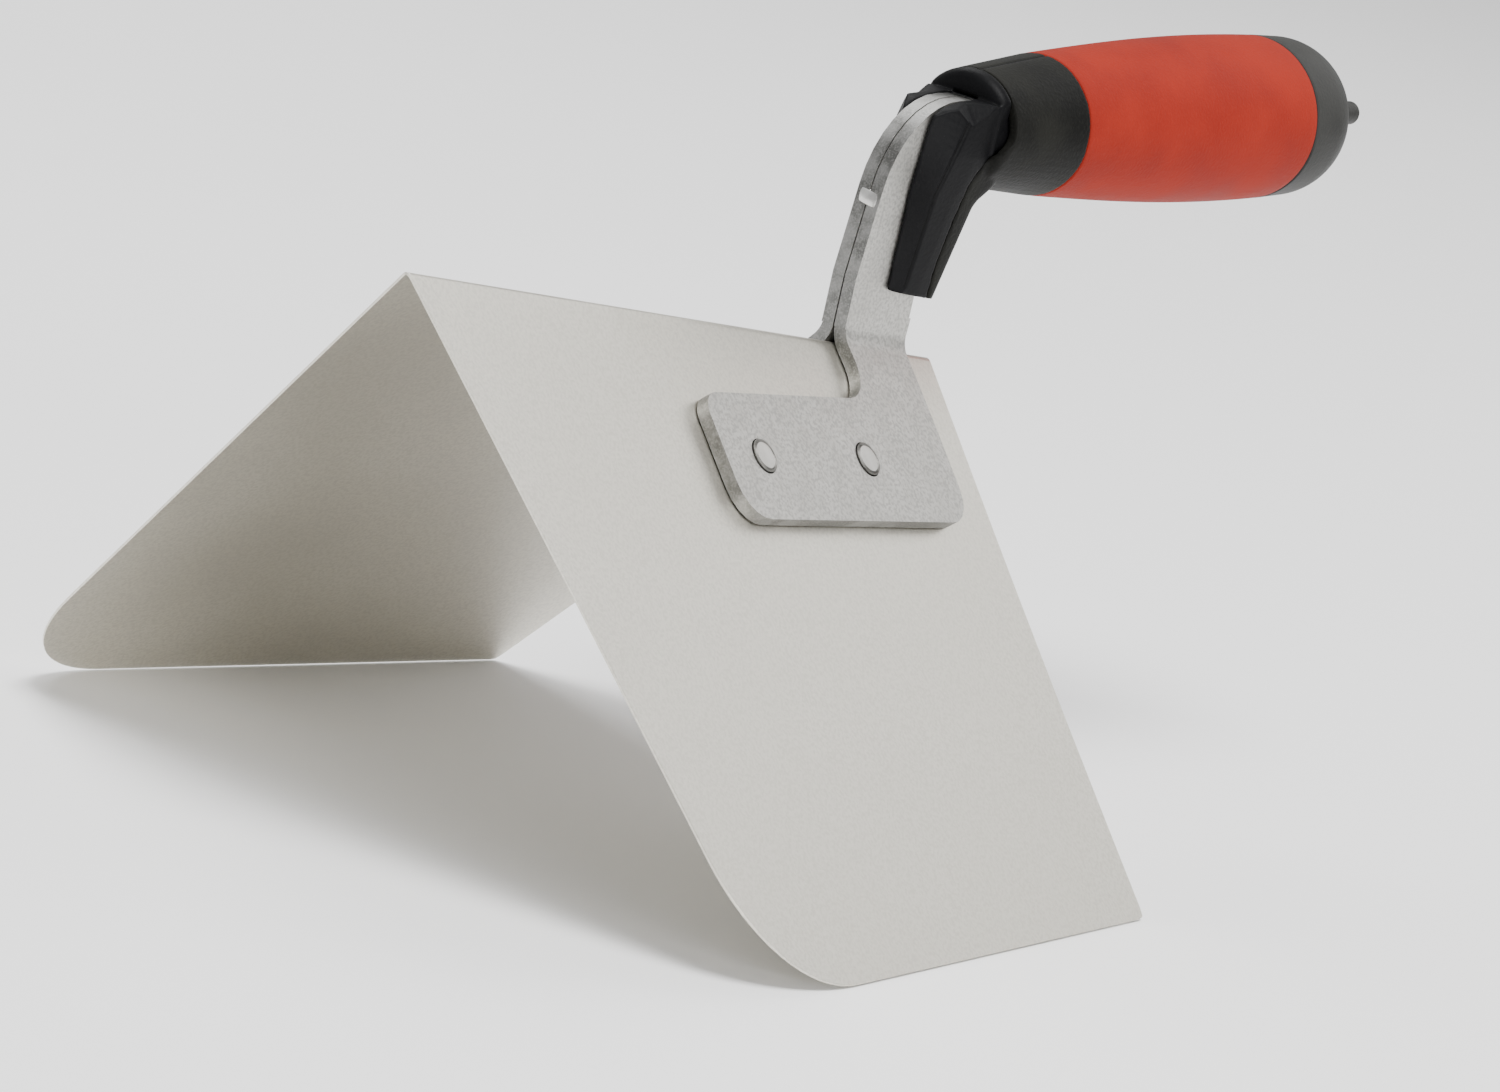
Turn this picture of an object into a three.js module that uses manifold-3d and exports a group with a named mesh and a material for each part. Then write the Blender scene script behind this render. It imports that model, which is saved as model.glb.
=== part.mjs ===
// Outside corner trowel: a folded stainless blade, two stamped tang plates riveted to its wings,
// and a round soft-grip handle with a finger guard that runs down behind the tang.
// Millimetres, +Z up. The tool stands on the outer edges of its two wings.

import * as THREE from 'three';
import { mergeVertices } from 'three/addons/utils/BufferGeometryUtils.js';
import Module from 'manifold-3d';

// ---------------------------------------------------------------- driving dimensions

// Blade: one sheet folded along a ridge. Widths run down the outside of a wing from the sharp fold line.
const RIDGE_LENGTH = 165;
const FOLD_ANGLE = 84.8;
const SHEET_THICKNESS = 0.5;
const FOLD_RADIUS = 1.2;
const WING_FRONT_WIDTH = 130.9;
const WING_BACK_WIDTH = 112.3;
const FRONT_SETBACK = 37.1;
const BACK_OVERHANG = 4.3;
const BACK_EDGE_BOW = 0.8;
const FRONT_CORNER_RADIUS = 30;
const BACK_CORNER_RADIUS = 1.2;

// Tang plates: a foot on each wing, a neck over the ridge, a shank and a tail inside the handle.
const PLATE_THICKNESS = 2.5;
const PLATE_BEND_RADIUS = 5;
const FOOT_SETBACK = 12;
const FOOT_LENGTH = 77;
const FOOT_HEIGHT = 24.3;
const FOOT_TILT = 3.7;
const FOOT_DROP = 29.1;
const FOOT_TOP_CORNER_RADIUS = 4.5;
const FOOT_LOW_CORNER_RADIUS = 7;
const FOOT_FILLET_RADIUS = 7;
const NECK_LEAN = 2.2;
const SHANK_SETBACK = 15;
const SHANK_WIDTH = 20.3;
const SHANK_LEAN = 1.3;
const SHANK_LEAN_HEIGHT = 12;
const SHANK_BEND_RADIUS = 19;
const SHANK_INNER_RADIUS = 5;
const TAIL_TOP = 5.7;
const TAIL_BOTTOM = 5.3;
const TAIL_LENGTH = 62;

// Foot rivets: flush countersunk heads with a turned ring on each face.
const RIVET_FRONT_INSET = 12.5;
const RIVET_PITCH = 35.4;
const RIVET_HEAD_RADIUS = 3.2;
const RIVET_SHANK_RADIUS = 2.4;
const RIVET_HEAD_DEPTH = 1.2;
const RIVET_RING_RADIUS = 2.5;
const RIVET_RING_WIDTH = 0.4;
const RIVET_RING_DEPTH = 0.3;

// Tang pins: hidden cross pins that lock the two tails inside the core.
const PIN_RADIUS = 2;
const PIN_INSET = 1.1;
const PIN_STATIONS = [8, 46];

// Handle: stations run along its axis from the collar's rear ring, radii are outside radii.
const HANDLE_TILT = 7.8;
const HANDLE_OFFSET = 26.1;
const HANDLE_RISE = 45.5;
const NOSE_FRONT = -24.3;
const NOSE_EDGE_RADIUS = 2.4;
const NOSE_RADIUS = 10.9;
const COLLAR_FRONT = -21.5;
const COLLAR_RADIUS = 13.2;
const GRIP_LENGTH = 76.5;
const GRIP_RADIUS = 15.9;
const GRIP_END_RADIUS = 15.7;
const CORE_RADIUS = 8.6;
const CORE_TAIL = 4.6;
const CAP_SHOULDER = 8;
const CAP_DOME = 14;
const CAP_FLAT_RADIUS = 4;
const STUD_RADIUS = 2.3;
const STUD_TIP_RADIUS = 1.7;
const STUD_PROTRUSION = 17.5;
const STUD_ROOT = 13;
const STUD_CHAMFER = 1.6;

// Finger guard: a tapered leg on both sides of the shank, below the nose.
const GUARD_BOTTOM = 10.9;
const GUARD_BROW = 38;
const GUARD_SHOULDER = 30;
const GUARD_TOP = 48.2;
const GUARD_FRONT_LOW = 10.1;
const GUARD_FRONT_BROW = 12.6;
const GUARD_BACK_LOW = 3.3;
const GUARD_BACK_BROW = 5.5;
const GUARD_FLARE = 4;
const GUARD_FLARE_BOTTOM = 28.5;
const GUARD_FLARE_TOP = 33;
// The plan's shares of the guard's length (crease, widest, rear) and of its half width (front, crease, rear).
const PLAN_CREASE = 0.18;
const PLAN_WIDEST = 0.5;
const PLAN_REAR = 0.85;
const PLAN_FRONT_WIDTH = 0.5;
const PLAN_CREASE_WIDTH = 0.95;
const PLAN_REAR_WIDTH = 0.7;
const GUARD_CREASE_LOW = 7.6;
const GUARD_CREASE_MIDDLE = 9.4;
const GUARD_CREASE_TOP = 5;
const GUARD_FRONT_HALF_WIDTH = 3.3;
const GUARD_HALF_WIDTH_LOW = 5.2;
const GUARD_HALF_WIDTH_TOP = 8;
const NOSE_HALF_WIDTH = 8.4;
const BROW_SLANT = 0.2;
const BROW_RISE = 5.4;
const BROW_RADIUS = 1.5;
// Bends of the guard's top edge: distance ahead of the shank's back, depth under the guard's top, radius.
const TOP_BENDS = [[9.8, 2.8, 5], [5, 1.2, 6], [0, 0.1, 5]];
// Bends of the parting groove below the handle's axis: distance ahead of the shank's back, height, radius.
const PARTING_KINK_RADIUS = 3;
const PARTING_BENDS = [[0.4, 33.5, 6], [1, 26, 8], [0.8, 16.9, 6], [-0.9, 8.9, 0]];

// Named clearances.
const REST_GAP = 0.3;
const PLATE_GAP = 0.3;
const RIVET_CLEARANCE = 0.2;
const SLOT_CLEARANCE = 0.3;
const SLEEVE_CLEARANCE = 0.3;
const BUTT_GAP = 0.3;
const HALVES_OVERLAP = 0.05;

// ---------------------------------------------------------------- derived places

const wasm = await Module();
wasm.setup();

const AXIS_X = new THREE.Vector3(1, 0, 0);
const AXIS_Y = new THREE.Vector3(0, 1, 0);
const AXIS_Z = new THREE.Vector3(0, 0, 1);
const RIGHT = -1;
const LEFT = 1;
const SIDES = [{ name: 'right', sign: RIGHT }, { name: 'left', sign: LEFT }];

const halfFold = THREE.MathUtils.degToRad(FOLD_ANGLE / 2);
const footTilt = THREE.MathUtils.degToRad(FOOT_TILT);
const handleTilt = THREE.MathUtils.degToRad(HANDLE_TILT);

const shankBack = RIDGE_LENGTH - SHANK_SETBACK;
const shankFront = shankBack - SHANK_WIDTH;
const handleX = shankBack + HANDLE_OFFSET;
const capEnd = GRIP_LENGTH + CAP_SHOULDER + CAP_DOME;
const plateOuter = REST_GAP + PLATE_THICKNESS;
const slotHalfWidth = PLATE_GAP / 2 + PLATE_THICKNESS + SLOT_CLEARANCE;
const sleeveBore = CORE_RADIUS + SLEEVE_CLEARANCE;

// ---------------------------------------------------------------- shape helpers

/** Points of a circular arc, both ends included. */
function arcPoints(centerX, centerY, radius, fromAngle, toAngle, steps) {
  const points = [];
  for (let i = 0; i <= steps; i += 1) {
    const angle = fromAngle + ((toAngle - fromAngle) * i) / steps;
    points.push(new THREE.Vector2(centerX + radius * Math.cos(angle), centerY + radius * Math.sin(angle)));
  }
  return points;
}

/** A closed outline whose corners [x, y, radius] are rounded by tangent arcs. */
function roundedOutline(corners) {
  const points = [];
  corners.forEach(([x, y, radius], i) => {
    const corner = new THREE.Vector2(x, y);
    if (!radius) {
      points.push(corner);
      return;
    }
    const before = corners[(i + corners.length - 1) % corners.length];
    const after = corners[(i + 1) % corners.length];
    const toBefore = new THREE.Vector2(before[0], before[1]).sub(corner).normalize();
    const toAfter = new THREE.Vector2(after[0], after[1]).sub(corner).normalize();
    const half = Math.acos(THREE.MathUtils.clamp(toBefore.dot(toAfter), -1, 1)) / 2;
    const toCenter = toBefore.clone().add(toAfter).normalize();
    const center = corner.clone().addScaledVector(toCenter, radius / Math.sin(half));
    const start = corner.clone().addScaledVector(toBefore, radius / Math.tan(half)).sub(center);
    const turn = Math.sign(toBefore.cross(toAfter)) * (Math.PI - 2 * half);
    const steps = Math.max(3, Math.ceil(Math.abs(turn) * (2 + radius / 6)));
    points.push(...arcPoints(center.x, center.y, radius, start.angle(), start.angle() - turn, steps));
  });
  return new THREE.Shape(points);
}

/** A closed solid from a geometry, with its shared corners merged. */
function solidOf(geometry) {
  const bare = geometry.index ? geometry.clone() : geometry;
  bare.deleteAttribute('normal');
  bare.deleteAttribute('uv');
  const merged = mergeVertices(bare, 1e-5);
  return new wasm.Manifold(new wasm.Mesh({
    numProp: 3,
    vertProperties: new Float32Array(merged.attributes.position.array),
    triVerts: new Uint32Array(merged.index.array),
  }));
}

/** The triangles of a solid as a flat-shaded geometry. */
function geometryOf(solid) {
  const { vertProperties, triVerts } = solid.getMesh();
  const indexed = new THREE.BufferGeometry();
  indexed.setAttribute('position', new THREE.BufferAttribute(new Float32Array(vertProperties), 3));
  indexed.setIndex(new THREE.BufferAttribute(new Uint32Array(triVerts), 1));
  const geometry = indexed.toNonIndexed();
  geometry.computeVertexNormals();
  return geometry;
}

/** An outline extruded by depth in the frame whose axes are across, up and along. */
function prism(outline, depth, across, up, along, origin) {
  const geometry = new THREE.ExtrudeGeometry(outline, { depth, bevelEnabled: false, steps: 1 });
  geometry.applyMatrix4(new THREE.Matrix4().makeBasis(across, up, along).setPosition(origin));
  return solidOf(geometry);
}

/** An outline drawn in y and z, extruded along x. */
function crossPrism(outline, xLow, xHigh) {
  return prism(outline, xHigh - xLow, AXIS_Y, AXIS_Z, AXIS_X, new THREE.Vector3(xLow, 0, 0));
}

/** An outline drawn in x and z, extruded across y. */
function sidePrism(outline, yLow, yHigh) {
  const along = AXIS_Y.clone().negate();
  return prism(outline, yHigh - yLow, AXIS_X, AXIS_Z, along, new THREE.Vector3(0, yHigh, 0));
}

/** Directions on one wing: down its slope, and out of its outer face. */
function wingAxes(sign) {
  return {
    down: new THREE.Vector3(0, sign * Math.sin(halfFold), -Math.cos(halfFold)),
    out: new THREE.Vector3(0, sign * Math.cos(halfFold), Math.sin(halfFold)),
  };
}

/** An outline drawn in x and distance down a wing, extruded square to the wing. */
function wingPrism(outline, sign, outLow, outHigh) {
  const { down, out } = wingAxes(sign);
  const origin = out.clone().multiplyScalar(sign === LEFT ? outLow : outHigh);
  return prism(outline, outHigh - outLow, AXIS_X, down, out.clone().multiplyScalar(sign), origin);
}

/** The half of space on one side, just past the middle plane, big enough for the whole tool. */
function halfSpace(sign) {
  const reach = 4 * (RIDGE_LENGTH + WING_FRONT_WIDTH);
  const box = new THREE.BoxGeometry(reach, reach, reach);
  box.translate(0, sign * (reach / 2 - HALVES_OVERLAP), 0);
  return solidOf(box);
}

/** A turned body on the handle's axis, from [station, radius] points that start and end on it. */
function turned(profile, segments = 48) {
  const points = profile.map(([station, radius]) => new THREE.Vector2(radius, station));
  const geometry = new THREE.LatheGeometry(points, segments);
  geometry.rotateX(Math.PI / 2);
  geometry.rotateY(Math.PI / 2);
  return solidOf(placedOnHandle(geometry));
}

/** Moves a geometry from handle coordinates (stations along +X) to the tool. */
function placedOnHandle(geometry) {
  geometry.rotateY(-handleTilt);
  geometry.translate(handleX, 0, HANDLE_RISE);
  return geometry;
}

/** The tool's x and z of a point given by its handle station and height over the axis. */
function handlePoint(station, height) {
  return [
    handleX + station * Math.cos(handleTilt) - height * Math.sin(handleTilt),
    HANDLE_RISE + station * Math.sin(handleTilt) + height * Math.cos(handleTilt),
  ];
}

// ---------------------------------------------------------------- blade

/** The flat outline of one wing: raked front, big front corner, sloping outer edge, bowed back. */
function wingOutline() {
  const overlap = 12;
  const rake = FRONT_SETBACK / WING_FRONT_WIDTH;
  const lean = BACK_OVERHANG / WING_BACK_WIDTH;
  return roundedOutline([
    [-overlap * rake, -overlap, 0],
    [FRONT_SETBACK, WING_FRONT_WIDTH, FRONT_CORNER_RADIUS],
    [RIDGE_LENGTH + BACK_OVERHANG, WING_BACK_WIDTH, BACK_CORNER_RADIUS],
    [RIDGE_LENGTH + BACK_OVERHANG * 0.75 - BACK_EDGE_BOW * 0.75, WING_BACK_WIDTH * 0.75, 0],
    [RIDGE_LENGTH + BACK_OVERHANG * 0.5 - BACK_EDGE_BOW, WING_BACK_WIDTH * 0.5, 0],
    [RIDGE_LENGTH + BACK_OVERHANG * 0.25 - BACK_EDGE_BOW * 0.75, WING_BACK_WIDTH * 0.25, 0],
    [RIDGE_LENGTH, 0, 0],
    [RIDGE_LENGTH - overlap * lean, -overlap, 0],
  ]);
}

/** The folded sheet's section: two straight wings joined by a round fold. */
function sheetSection() {
  const reach = WING_FRONT_WIDTH + 10;
  const centerZ = -FOLD_RADIUS / Math.sin(halfFold);
  const inner = FOLD_RADIUS - SHEET_THICKNESS;
  const end = (sign, depth) => {
    const { down, out } = wingAxes(sign);
    const point = down.multiplyScalar(reach).addScaledVector(out, -depth);
    return new THREE.Vector2(point.y, point.z);
  };
  return new THREE.Shape([
    end(RIGHT, 0),
    ...arcPoints(0, centerZ, FOLD_RADIUS, Math.PI - halfFold, halfFold, 12),
    end(LEFT, 0),
    end(LEFT, SHEET_THICKNESS),
    ...arcPoints(0, centerZ, inner, halfFold, Math.PI - halfFold, 12),
    end(RIGHT, SHEET_THICKNESS),
  ]);
}

/** The blade: the folded sheet trimmed to both wing outlines and drilled for the foot rivets. */
function bladeSolid() {
  const margin = 15;
  const sheet = crossPrism(sheetSection(), -margin, RIDGE_LENGTH + margin);
  const trims = SIDES.map(({ sign }) => {
    const slab = wingPrism(wingOutline(), sign, -margin, margin);
    return slab.intersect(halfSpace(sign));
  });
  let blade = sheet.intersect(trims[0].add(trims[1]));
  SIDES.forEach(({ sign }) => {
    [0, 1].forEach((index) => {
      blade = blade.subtract(rivetBody(sign, index, RIVET_CLEARANCE));
    });
  });
  return blade;
}

// ---------------------------------------------------------------- tang plates

/** A point of the foot, from its distance behind the foot's front end and below its middle line. */
function footPoint(along, below) {
  const frontX = RIDGE_LENGTH - FOOT_SETBACK - FOOT_LENGTH;
  return [
    frontX + along * Math.cos(footTilt) + below * Math.sin(footTilt),
    FOOT_DROP - along * Math.sin(footTilt) + below * Math.cos(footTilt),
  ];
}

/** The foot and neck outline on a wing: a long foot ahead of the neck, filleted into it. */
function footOutline() {
  const neckTop = -3;
  const low = FOOT_HEIGHT / 2;
  const neckFront = shankFront + SHANK_LEAN;
  const neckBack = shankBack + SHANK_LEAN;
  const innerAlong = (neckFront + NECK_LEAN - footPoint(0, -low)[0]) / Math.cos(footTilt);
  return roundedOutline([
    [neckBack, neckTop, 0],
    [neckBack + NECK_LEAN * 0.7, FOOT_DROP - low, 0],
    [...footPoint(FOOT_LENGTH, low), FOOT_LOW_CORNER_RADIUS],
    [...footPoint(0, low), FOOT_LOW_CORNER_RADIUS],
    [...footPoint(0, -low), FOOT_TOP_CORNER_RADIUS],
    [...footPoint(innerAlong, -low), FOOT_FILLET_RADIUS],
    [neckFront, neckTop, 0],
  ]);
}

/** The shank and tail outline in side view, grown all round by the given clearance. */
function shankOutline(grow, bottom) {
  const lineAngle = handleTilt;
  const front = shankFront - grow;
  const back = shankBack + grow;
  const radius = SHANK_BEND_RADIUS + grow;
  const tailTop = TAIL_TOP + grow;
  const tailBottom = -TAIL_BOTTOM - grow;
  const tailEnd = TAIL_LENGTH + grow;
  const zOn = (x, height) => HANDLE_RISE + height / Math.cos(lineAngle) + (x - handleX) * Math.tan(lineAngle);
  return roundedOutline([
    [front + SHANK_LEAN, bottom, 0],
    [front, SHANK_LEAN_HEIGHT, 0],
    [front, zOn(front, tailTop), radius],
    [...handlePoint(tailEnd, tailTop), 0],
    [...handlePoint(tailEnd, tailBottom), 0],
    [back, zOn(back, tailBottom), SHANK_INNER_RADIUS],
    [back, SHANK_LEAN_HEIGHT, 0],
    [back + SHANK_LEAN, bottom, 0],
  ]);
}

/** The plate's bent section: a wall beside the middle plane that turns out onto the wing. */
function plateSection(sign) {
  const wallTop = HANDLE_RISE + RIDGE_LENGTH / 2;
  const footReach = FOOT_DROP + FOOT_HEIGHT;
  const faceIn = PLATE_GAP / 2;
  const faceOut = faceIn + PLATE_THICKNESS;
  const centerOut = faceOut + PLATE_BEND_RADIUS;
  const normal = plateOuter + PLATE_BEND_RADIUS;
  const centerZ = (normal - Math.cos(halfFold) * centerOut) / Math.sin(halfFold);
  const wing = (out) => new THREE.Vector2(
    footReach * Math.sin(halfFold) + out * Math.cos(halfFold),
    -footReach * Math.cos(halfFold) + out * Math.sin(halfFold),
  );
  const turn = Math.PI + halfFold;
  const points = [
    new THREE.Vector2(faceIn, wallTop),
    ...arcPoints(centerOut, centerZ, PLATE_BEND_RADIUS + PLATE_THICKNESS, Math.PI, turn, 8),
    wing(REST_GAP),
    wing(plateOuter),
    ...arcPoints(centerOut, centerZ, PLATE_BEND_RADIUS, turn, Math.PI, 8),
    new THREE.Vector2(faceOut, wallTop),
  ];
  return new THREE.Shape(points.map((point) => new THREE.Vector2(sign * point.x, point.y)));
}

/** One tang plate: its bent strip trimmed to the foot and shank outlines, with its holes. */
function tangPlateSolid(sign) {
  const strip = crossPrism(plateSection(sign), 0, 2 * RIDGE_LENGTH + TAIL_LENGTH);
  const footTrim = wingPrism(footOutline(), sign, -1, plateOuter + PLATE_BEND_RADIUS);
  const wallReach = PLATE_GAP / 2 + PLATE_THICKNESS + 1;
  const shank = shankOutline(0, PLATE_BEND_RADIUS / 2);
  const shankTrim = sidePrism(shank, sign === LEFT ? 0 : -wallReach, sign === LEFT ? wallReach : 0);
  let plate = strip.intersect(footTrim.add(shankTrim));
  [0, 1].forEach((index) => {
    plate = plate.subtract(rivetBody(sign, index, RIVET_CLEARANCE));
  });
  PIN_STATIONS.forEach((station) => {
    plate = plate.subtract(pinBody(station, RIVET_CLEARANCE));
  });
  return plate;
}

// ---------------------------------------------------------------- rivets and pins

/** A flush rivet through a foot and the blade; grow widens it into the hole that takes it. */
function rivetBody(sign, index, grow) {
  const head = RIVET_HEAD_RADIUS + grow;
  const shank = RIVET_SHANK_RADIUS + grow;
  const reach = grow > 0 ? 1 : 0;
  const length = plateOuter + SHEET_THICKNESS;
  const ring = RIVET_RING_RADIUS;
  const face = grow > 0 ? [[head, reach]] : [
    [head, 0],
    [ring + RIVET_RING_WIDTH, 0],
    [ring + RIVET_RING_WIDTH / 2, -RIVET_RING_DEPTH],
    [ring, 0],
  ];
  const profile = [[0, -length - reach], [shank, -length - reach], [shank, -RIVET_HEAD_DEPTH - grow]];
  profile.push([head, grow > 0 ? 0 : -0.2], ...face, [0, reach]);
  const points = profile.map(([radius, height]) => new THREE.Vector2(radius, height));
  const geometry = new THREE.LatheGeometry(points, 32);
  const [x, below] = footPoint(RIVET_FRONT_INSET + index * RIVET_PITCH, 0);
  const { down, out } = wingAxes(sign);
  const origin = down.clone().multiplyScalar(below).addScaledVector(out, plateOuter).setX(x);
  const side = out.clone().cross(AXIS_X);
  geometry.applyMatrix4(new THREE.Matrix4().makeBasis(side, out, AXIS_X.clone()).setPosition(origin));
  return solidOf(geometry);
}

/** A cross pin through both tails and the core, at a station of the handle. */
function pinBody(station, grow) {
  const length = 2 * (CORE_RADIUS - PIN_INSET) + (grow > 0 ? 2 * CORE_RADIUS : 0);
  const geometry = new THREE.CylinderGeometry(PIN_RADIUS + grow, PIN_RADIUS + grow, length, 24);
  geometry.translate(station, 0, 0);
  return solidOf(placedOnHandle(geometry));
}

// ---------------------------------------------------------------- handle

/** The outside of the nose and collar together: a blunt nose that swells back to the grip. */
function noseAndCollarBody(rear) {
  const shoulder = NOSE_RADIUS - NOSE_EDGE_RADIUS;
  const edge = arcPoints(NOSE_FRONT + NOSE_EDGE_RADIUS, shoulder, NOSE_EDGE_RADIUS, Math.PI, Math.PI / 2, 5);
  return turned([
    [NOSE_FRONT, 0],
    ...edge.map((point) => [point.x, point.y]),
    [rear, COLLAR_RADIUS],
    [rear, 0],
  ]);
}

/** Where the guard's side crease runs, at a height: forward up to the shoulder, then back. */
function guardCrease(z) {
  if (z < GUARD_SHOULDER) {
    const rise = (z - GUARD_BOTTOM) / (GUARD_SHOULDER - GUARD_BOTTOM);
    return shankBack - THREE.MathUtils.lerp(GUARD_CREASE_LOW, GUARD_CREASE_MIDDLE, rise);
  }
  const fall = Math.min((z - GUARD_SHOULDER) / (GUARD_TOP - GUARD_SHOULDER), 1);
  return shankBack - THREE.MathUtils.lerp(GUARD_CREASE_MIDDLE, GUARD_CREASE_TOP, fall ** 1.5);
}

/** The guard leg: a prow-shaped plan that tapers downwards, trimmed to its side view. */
function guardBody() {
  const plan = new THREE.Shape();
  plan.moveTo(0, -PLAN_FRONT_WIDTH);
  plan.lineTo(PLAN_CREASE, -PLAN_CREASE_WIDTH);
  plan.lineTo(PLAN_WIDEST, -1);
  plan.lineTo(PLAN_REAR, -1);
  plan.quadraticCurveTo(1, -1, 1, -PLAN_REAR_WIDTH);
  plan.lineTo(1, PLAN_REAR_WIDTH);
  plan.quadraticCurveTo(1, 1, PLAN_REAR, 1);
  plan.lineTo(PLAN_WIDEST, 1);
  plan.lineTo(PLAN_CREASE, PLAN_CREASE_WIDTH);
  plan.lineTo(0, PLAN_FRONT_WIDTH);
  const height = GUARD_TOP - GUARD_BOTTOM + 2;
  const settings = { depth: height, steps: 26, bevelEnabled: false, curveSegments: 5 };
  const geometry = new THREE.ExtrudeGeometry(plan, settings);
  const position = geometry.attributes.position;
  for (let i = 0; i < position.count; i += 1) {
    const z = GUARD_BOTTOM + position.getZ(i);
    const share = (z - GUARD_BOTTOM) / (GUARD_BROW - GUARD_BOTTOM);
    const rise = Math.min((z - GUARD_BOTTOM) / (GUARD_SHOULDER - GUARD_BOTTOM), 1);
    const front = shankBack - THREE.MathUtils.lerp(GUARD_FRONT_LOW, GUARD_FRONT_BROW, rise);
    const flareShare = THREE.MathUtils.inverseLerp(GUARD_FLARE_BOTTOM, GUARD_FLARE_TOP, z);
    const flare = GUARD_FLARE * THREE.MathUtils.clamp(flareShare, 0, 1) ** 2;
    const back = shankBack + THREE.MathUtils.lerp(GUARD_BACK_LOW, GUARD_BACK_BROW, share) + flare;
    const half = THREE.MathUtils.lerp(GUARD_HALF_WIDTH_LOW, GUARD_HALF_WIDTH_TOP, Math.min(share, 1));
    const planX = position.getX(i);
    const across = planX > 0 ? half * position.getY(i) : Math.sign(position.getY(i)) * GUARD_FRONT_HALF_WIDTH;
    const onCrease = Math.abs(planX - PLAN_CREASE) < 0.01;
    position.setXYZ(i, onCrease ? guardCrease(z) : THREE.MathUtils.lerp(front, back, planX), across, z);
  }
  const reach = 2 * GUARD_HALF_WIDTH_TOP;
  return solidOf(geometry).intersect(sidePrism(guardSideView(), -reach, reach));
}

/** The guard in side view: its brow rounds over and then follows the tang's top edge. */
function guardSideView() {
  const far = shankBack + 2 * GUARD_FRONT_BROW;
  const clear = shankBack - GUARD_FRONT_BROW - 8;
  return roundedOutline([
    [clear, GUARD_BOTTOM - 1, 0],
    [clear, GUARD_BROW - 2, 0],
    [shankBack - GUARD_FRONT_BROW - BROW_SLANT, GUARD_BROW, 0],
    [shankBack - GUARD_FRONT_BROW + BROW_SLANT, GUARD_BROW + BROW_RISE, BROW_RADIUS],
    ...TOP_BENDS.map(([ahead, below, radius]) => [shankBack - ahead, GUARD_TOP - below, radius]),
    [far, GUARD_TOP, 0],
    [far, GUARD_BOTTOM - 1, 0],
  ]);
}

/** Side view of everything ahead of the parting groove (or, offset, behind it). */
function partingRegion(offset, rear) {
  const reach = rear ? 80 : -80;
  const top = handlePoint(COLLAR_FRONT + offset, 30);
  const kink = handlePoint(COLLAR_FRONT + offset, 0);
  const bends = PARTING_BENDS.map(([ahead, height, radius]) => [shankBack + offset - ahead, height, radius]);
  const low = bends[bends.length - 1];
  return roundedOutline([
    [...top, 0],
    [...kink, PARTING_KINK_RADIUS],
    ...bends,
    [low[0] + reach, low[1], 0],
    [top[0] + reach, top[1], 0],
  ]);
}

/** The slot that takes the tang's shank and tails. */
function tangSlot() {
  return sidePrism(shankOutline(SLOT_CLEARANCE, 2), -slotHalfWidth, slotHalfWidth);
}

/** The hard core: nose, guard front and the spigot under the collar, grip and cap. */
function handleCoreSolid() {
  const shell = noseAndCollarBody(-BUTT_GAP).add(guardBody());
  const front = shell.intersect(sidePrism(partingRegion(0, false), -NOSE_HALF_WIDTH, NOSE_HALF_WIDTH));
  const spigotEnd = GRIP_LENGTH + CORE_TAIL;
  const spigot = turned([
    [COLLAR_FRONT - 1, 0],
    [COLLAR_FRONT - 1, CORE_RADIUS],
    [spigotEnd - 1, CORE_RADIUS],
    [spigotEnd, CORE_RADIUS - 1],
    [spigotEnd, 0],
  ]);
  let core = front.add(spigot).subtract(tangSlot());
  PIN_STATIONS.forEach((station) => {
    core = core.subtract(pinBody(station, RIVET_CLEARANCE));
  });
  return core;
}

/** The rubber collar: the ring ahead of the grip and the back of the guard. */
function guardCollarSolid() {
  const shell = noseAndCollarBody(-BUTT_GAP / 2).add(guardBody());
  const rear = shell.intersect(sidePrism(partingRegion(BUTT_GAP, true), -40, 40));
  const bore = turned([
    [COLLAR_FRONT - 2, 0],
    [COLLAR_FRONT - 2, sleeveBore],
    [10, sleeveBore],
    [10, 0],
  ]);
  return rear.subtract(bore).subtract(tangSlot());
}

/** The soft grip sleeve: a slim waist that swells towards the rear. */
function gripSleeveSolid() {
  const front = BUTT_GAP / 2;
  const rear = GRIP_LENGTH - BUTT_GAP / 2;
  const swell = [];
  const steps = 9;
  for (let i = 0; i <= steps; i += 1) {
    const share = i / steps;
    const rise = Math.sin((Math.PI / 2) * Math.min(share / 0.8, 1));
    const fall = share > 0.8 ? ((share - 0.8) / 0.2) ** 2 * (GRIP_RADIUS - GRIP_END_RADIUS) : 0;
    swell.push([front + share * (rear - front), COLLAR_RADIUS + rise * (GRIP_RADIUS - COLLAR_RADIUS) - fall]);
  }
  return turned([[front, sleeveBore], ...swell, [rear, sleeveBore], [front, sleeveBore]]);
}

/** The end cap: a short shoulder and a dome, hollowed for the core's end and bored for the stud. */
function endCapSolid() {
  const front = GRIP_LENGTH + BUTT_GAP / 2;
  const socketEnd = GRIP_LENGTH + CORE_TAIL + SLEEVE_CLEARANCE;
  const shoulder = GRIP_LENGTH + CAP_SHOULDER;
  const shoulderRadius = GRIP_END_RADIUS - 0.3;
  const dome = [];
  const steps = 9;
  const lastAngle = Math.acos(CAP_FLAT_RADIUS / shoulderRadius);
  for (let i = 0; i <= steps; i += 1) {
    const angle = (lastAngle * i) / steps;
    const rise = (CAP_DOME * Math.sin(angle)) / Math.sin(lastAngle);
    dome.push([shoulder + rise, shoulderRadius * Math.cos(angle)]);
  }
  const boreRadius = STUD_RADIUS + SLEEVE_CLEARANCE;
  return turned([
    [front, sleeveBore],
    [front, GRIP_END_RADIUS],
    ...dome,
    [capEnd, boreRadius],
    [socketEnd, boreRadius],
    [socketEnd, sleeveBore],
    [front, sleeveBore],
  ]);
}

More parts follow.
